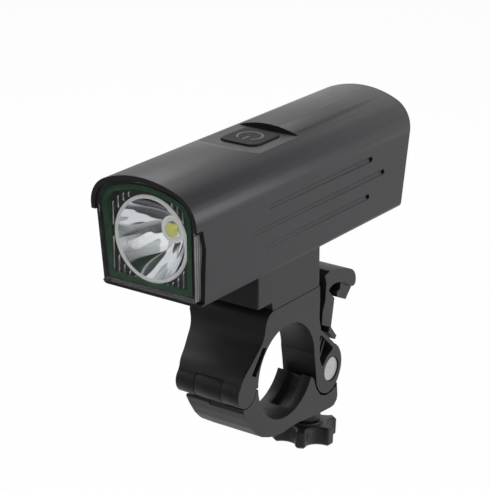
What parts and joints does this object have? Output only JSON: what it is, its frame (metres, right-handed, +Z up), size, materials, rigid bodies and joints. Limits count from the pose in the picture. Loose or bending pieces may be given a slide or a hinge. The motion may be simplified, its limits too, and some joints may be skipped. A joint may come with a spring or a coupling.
{
  "type": "bicycle headlight",
  "caption": "Rechargeable bicycle headlight with a hooded clear lens, top button and a hinged quick-release handlebar clamp.",
  "frame": {"origin": "centre of the handlebar clamp's bore, at the middle of the clamp ring", "axes": "+Z up, beam towards -Y, handlebar axis along X"},
  "size_m": [0.039, 0.1207, 0.1132],
  "materials": {
    "housing_finish": "satin anodised",
    "lens_clear": "clear gloss",
    "seal_green": "gloss",
    "panel_smoke": "gloss, ribbed",
    "mirror_finish": "mirror",
    "board_white": "matte",
    "phosphor": "satin",
    "steel": "satin",
    "sink_metal": "satin",
    "inner_plastic": "matte",
    "cell_wrap": "gloss wrap",
    "nickel": "satin",
    "circuit_board": "gloss",
    "switch_black": "matte",
    "button_rubber": "matte",
    "black_rubber": "matte",
    "clamp_plastic": "fine matte",
    "pin_silver": "satin",
    "knob_plastic": "fine matte",
    "brass_insert": "satin"
  },
  "bodies": {
    "bracket": {"upper_clamp": "clamp_plastic", "hinge_pin": "steel", "lever_pin": "steel"},
    "lamp": {"housing": "housing_finish", "front_lens": "lens_clear", "lens_seal": "seal_green", "ribbed_panel": "panel_smoke", "reflector": "mirror_finish", "led_board": "board_white", "led_emitter": "phosphor", "led_screws": "steel", "heat_sink": "sink_metal", "battery_carrier": "inner_plastic", "battery_cell": "cell_wrap", "contact_front": "nickel", "contact_rear": "nickel", "driver_board": "circuit_board", "switch_body": "switch_black", "button_seal": "black_rubber", "rear_cap": "clamp_plastic", "rear_cap_seal": "black_rubber", "rear_cap_screws": "steel", "charge_socket": "nickel", "charge_board": "circuit_board", "lamp_foot": "clamp_plastic", "foot_screws": "steel"},
    "button": {"power_button": "button_rubber", "switch_plunger": "switch_black"},
    "port_flap": {"port_cover": "black_rubber"},
    "lever": {"release_lever": "clamp_plastic"},
    "jaw": {"lower_jaw": "clamp_plastic"},
    "bolt": {"swing_bolt": "steel", "barrel_pin": "pin_silver"},
    "collar": {"thrust_collar": "clamp_plastic"},
    "knob": {"star_knob": "knob_plastic", "knob_insert": "brass_insert"}
  },
  "joints": [
    {"name": "lamp_slide", "type": "slide", "parent": "bracket", "child": "lamp", "axis": [0, -1, 0], "range_m": [0, 0.04]},
    {"name": "button_press", "type": "slide", "parent": "lamp", "child": "button", "axis": [0, 0, -1], "range_m": [0, 0.0008], "stiffness_N_per_m": 1500, "springref_m": -0.0002},
    {"name": "port_flap_hinge", "type": "hinge", "parent": "lamp", "child": "port_flap", "pos_m": [-0.0079, 0.06242, 0.04736], "axis": [-1, 0, 0], "range_deg": [0, 110]},
    {"name": "lever_press", "type": "hinge", "parent": "bracket", "child": "lever", "pos_m": [-0.0079, 0.0236, 0.0094], "axis": [-1, 0, 0], "range_deg": [0, 5], "stiffness_Nm_per_rad": 0.8, "springref_deg": -5.73},
    {"name": "bolt_swing", "type": "hinge", "parent": "bracket", "child": "bolt", "pos_m": [-0.0028, 0.02624, -0.00881], "axis": [1, 0, 0], "range_deg": [0, 95]},
    {"name": "collar_slide", "type": "slide", "parent": "bolt", "child": "collar", "axis": [0, -0.0698, -0.9976], "range_m": [0, 0.006]},
    {"name": "knob_spin", "type": "hinge", "parent": "collar", "child": "knob", "pos_m": [-0.0028, 0.0247, -0.03076], "axis": [0, -0.0698, -0.9976], "range_deg": [0, 3060]},
    {"name": "jaw_hinge", "type": "hinge", "parent": "bracket", "child": "jaw", "pos_m": [0, -0.02194, 0], "axis": [-1, 0, 0], "range_deg": [0, 6.2]}
  ],
  "couplings": [
    {"joint": "collar_slide", "follows": "knob_spin", "m_per_rad": 0.00011141},
    {"joint": "jaw_hinge", "follows": "knob_spin", "ratio": 0.0019608}
  ]
}
